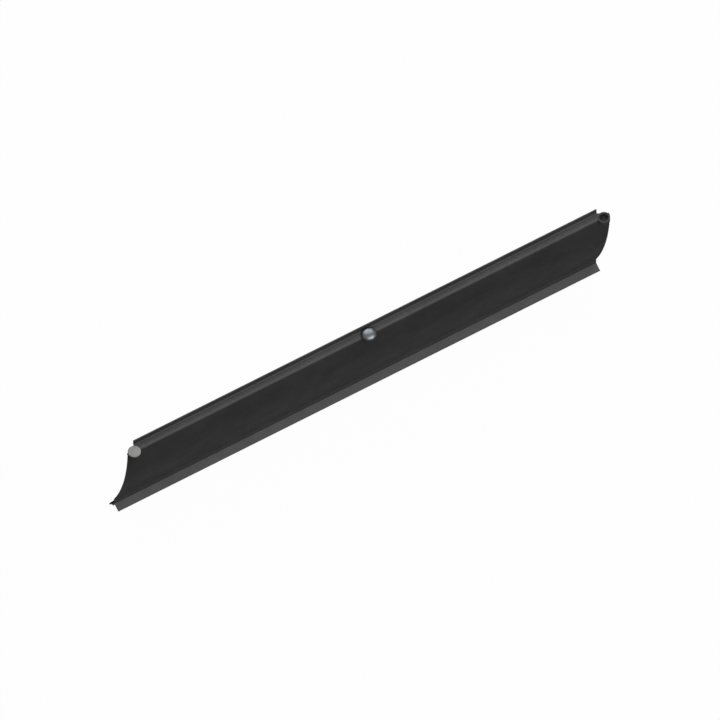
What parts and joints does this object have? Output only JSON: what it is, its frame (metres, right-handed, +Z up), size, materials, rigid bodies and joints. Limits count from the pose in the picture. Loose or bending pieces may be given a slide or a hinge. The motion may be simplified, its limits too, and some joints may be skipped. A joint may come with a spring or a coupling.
{
  "type": "plow blade",
  "caption": "Bare snow plow blade for a quad: long rolled moldboard with top lip, bolt-on cutting edge, rear ledge angle and capped post sockets.",
  "frame": {"origin": "middle of the flat band near the foot of the back, where the push frame bears", "axes": "+X along the blade, +Y the way it pushes (the hollow snow face is on that side), +Z up"},
  "size_m": [1.524, 0.1274, 0.4417],
  "materials": {
    "charcoal_paint": "satin charcoal powder coat",
    "dark_edge_steel": "black coated wear bar, rubbed along its tip",
    "zinc_plate": "zinc plated",
    "black_nylon": "moulded, matt",
    "pale_grey_plastic": "moulded, matt, pale grey",
    "bright_chrome": "polished"
  },
  "bodies": {
    "blade": {"moldboard": "charcoal_paint", "rear_angle": "charcoal_paint", "cutting_edge": "dark_edge_steel", "edge_bolt_1": "zinc_plate", "edge_washer_1": "zinc_plate", "edge_nut_1": "zinc_plate", "edge_bolt_2": "zinc_plate", "edge_washer_2": "zinc_plate", "edge_nut_2": "zinc_plate", "edge_bolt_3": "zinc_plate", "edge_washer_3": "zinc_plate", "edge_nut_3": "zinc_plate", "edge_bolt_4": "zinc_plate", "edge_washer_4": "zinc_plate", "edge_nut_4": "zinc_plate", "edge_bolt_5": "zinc_plate", "edge_washer_5": "zinc_plate", "edge_nut_5": "zinc_plate", "edge_bolt_6": "zinc_plate", "edge_washer_6": "zinc_plate", "edge_nut_6": "zinc_plate", "edge_bolt_7": "zinc_plate", "edge_washer_7": "zinc_plate", "edge_nut_7": "zinc_plate", "post_socket_left": "charcoal_paint", "socket_bush_left": "black_nylon", "post_socket_centre": "charcoal_paint", "socket_bush_centre": "black_nylon", "post_socket_right": "charcoal_paint", "socket_bush_right": "black_nylon"},
    "left_cap": {"cap_left": "pale_grey_plastic"},
    "centre_cap": {"cap_centre": "bright_chrome"}
  },
  "joints": [
    {"name": "left_cap_lift", "type": "slide", "parent": "blade", "child": "left_cap", "axis": [0, 0, 1], "range_m": [0, 0.02]},
    {"name": "centre_cap_lift", "type": "slide", "parent": "blade", "child": "centre_cap", "axis": [0, 0, 1], "range_m": [0, 0.02]}
  ]
}
